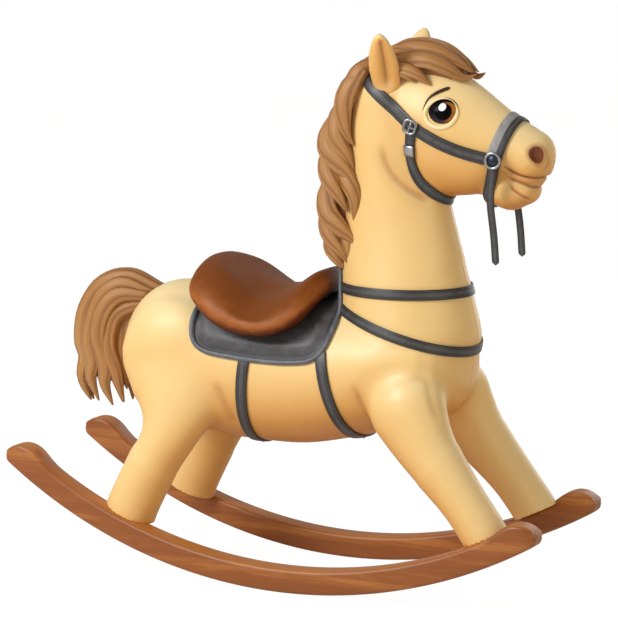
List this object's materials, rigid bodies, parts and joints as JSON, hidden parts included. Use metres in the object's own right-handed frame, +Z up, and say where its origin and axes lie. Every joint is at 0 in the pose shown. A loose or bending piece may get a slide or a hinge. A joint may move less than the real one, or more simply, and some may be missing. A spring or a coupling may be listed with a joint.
{
  "type": "rocking horse",
  "caption": "Rocking horse on two wooden bow rockers, with a moulded body, padded saddle, leather harness and bridle, mane and tail.",
  "frame": {"origin": "on the floor, in the middle plane, half way between the rockers' front and rear ends", "axes": "+X towards the nose, +Y the horse's left side, +Z up"},
  "size_m": [0.92, 0.288, 0.86],
  "materials": {
    "rocker_wood": "satin varnish",
    "body_paint": "satin",
    "plywood": "sanded",
    "post_wood": "planed",
    "steel": "zinc plated",
    "eye_glass": "polished",
    "lid_paint": "satin",
    "brow_paint": "satin",
    "hair": "combed pile",
    "saddle_leather": "polished",
    "pad_leather": "waxed",
    "piping_leather": "waxed",
    "strap_leather": "waxed",
    "liner_leather": "suede",
    "silver_metal": "polished",
    "dark_metal": "satin"
  },
  "bodies": {
    "horse": {"rocker_left": "rocker_wood", "rocker_right": "rocker_wood", "body_shell_left": "body_paint", "body_shell_right": "body_paint", "keel_board": "plywood", "front_bulkhead": "plywood", "rear_bulkhead": "plywood", "leg_post_front_left": "post_wood", "leg_post_front_right": "post_wood", "leg_post_rear_left": "post_wood", "leg_post_rear_right": "post_wood", "leg_bolts": "steel", "leg_bolt_washers": "steel", "leg_barrel_nuts": "steel", "post_screws": "steel", "shell_screws": "steel", "ear_left": "body_paint", "ear_right": "body_paint", "eye_left": "eye_glass", "eye_right": "eye_glass", "eyelid_left": "lid_paint", "eyelid_right": "lid_paint", "brow_left": "brow_paint", "brow_right": "brow_paint", "mane": "hair", "forelock": "hair", "tail": "hair", "tail_peg": "post_wood", "saddle_seat": "saddle_leather", "saddle_board": "plywood", "saddle_bolts": "steel", "saddle_pad": "pad_leather", "pad_piping": "piping_leather", "girth_front": "strap_leather", "girth_rear": "strap_leather", "breast_strap_upper": "strap_leather", "breast_strap_lower": "strap_leather", "girth_tacks": "steel", "crown_strap": "strap_leather", "throat_latch": "strap_leather", "noseband": "strap_leather", "noseband_liner": "liner_leather", "chin_strap": "strap_leather", "cheek_strap_left": "strap_leather", "cheek_strap_right": "strap_leather", "cheek_buckle_left": "silver_metal", "cheek_buckle_right": "silver_metal", "throat_keeper_left": "silver_metal", "throat_keeper_right": "silver_metal", "nose_ring_left": "silver_metal", "nose_ring_right": "silver_metal", "nose_stud_left": "dark_metal", "nose_stud_right": "dark_metal"},
    "cheek_buckle_tongue_left": {"cheek_buckle_tongue_left": "silver_metal"},
    "cheek_buckle_tongue_right": {"cheek_buckle_tongue_right": "silver_metal"},
    "rein_left": {"rein_left": "strap_leather"},
    "rein_right": {"rein_right": "strap_leather"}
  },
  "joints": [
    {"name": "rein_left_swing", "type": "hinge", "parent": "horse", "child": "rein_left", "pos_m": [0.346, 0.0559, 0.672], "axis": [0, 1, 0], "range_deg": [-35, 34]},
    {"name": "tongue_left_lift", "type": "hinge", "parent": "horse", "child": "cheek_buckle_tongue_left", "pos_m": [0.217, 0.068, 0.718], "axis": [0.3359, 0, 0.9419], "range_deg": [0, 80]},
    {"name": "rein_right_swing", "type": "hinge", "parent": "horse", "child": "rein_right", "pos_m": [0.346, -0.0559, 0.672], "axis": [0, 1, 0], "range_deg": [-35, 34]},
    {"name": "tongue_right_lift", "type": "hinge", "parent": "horse", "child": "cheek_buckle_tongue_right", "pos_m": [0.217, -0.068, 0.718], "axis": [-0.3359, 0, -0.9419], "range_deg": [0, 80]}
  ]
}
